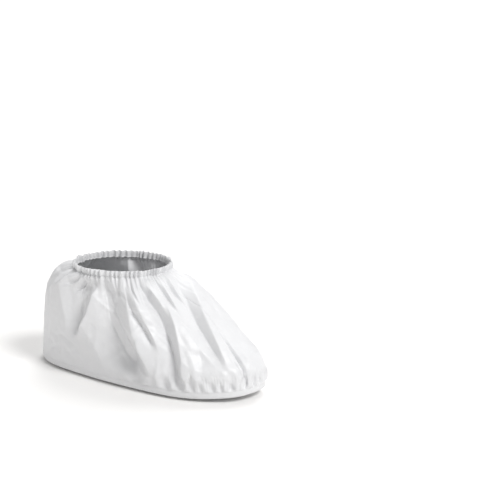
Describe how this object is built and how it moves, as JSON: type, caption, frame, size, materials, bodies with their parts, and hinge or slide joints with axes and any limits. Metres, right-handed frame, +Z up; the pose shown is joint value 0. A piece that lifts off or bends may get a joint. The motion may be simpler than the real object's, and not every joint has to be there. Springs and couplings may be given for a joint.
{
  "type": "shoe cover",
  "caption": "Disposable spunbonded cloth shoe cover in its worn form, with sewn side panels, a turned-up sole and a gathered elastic ankle hem.",
  "frame": {"origin": "on the floor, under the middle of the cover's box", "axes": "+X towards the toe, +Y towards the wearer's left, which is the inner side of this right foot, +Z up"},
  "size_m": [0.3196, 0.1428, 0.1454],
  "materials": {
    "panel_cloth": "smooth white spunbonded cloth with a slight sheen",
    "sole_cloth": "white spunbonded cloth, a little denser than the panels",
    "hem_cloth": "white spunbonded cloth gathered by an elastic inside"
  },
  "bodies": {
    "root": {"sole": "sole_cloth", "side_panel_outer": "panel_cloth", "side_panel_inner": "panel_cloth", "elastic_hem": "hem_cloth"}
  },
  "joints": []
}
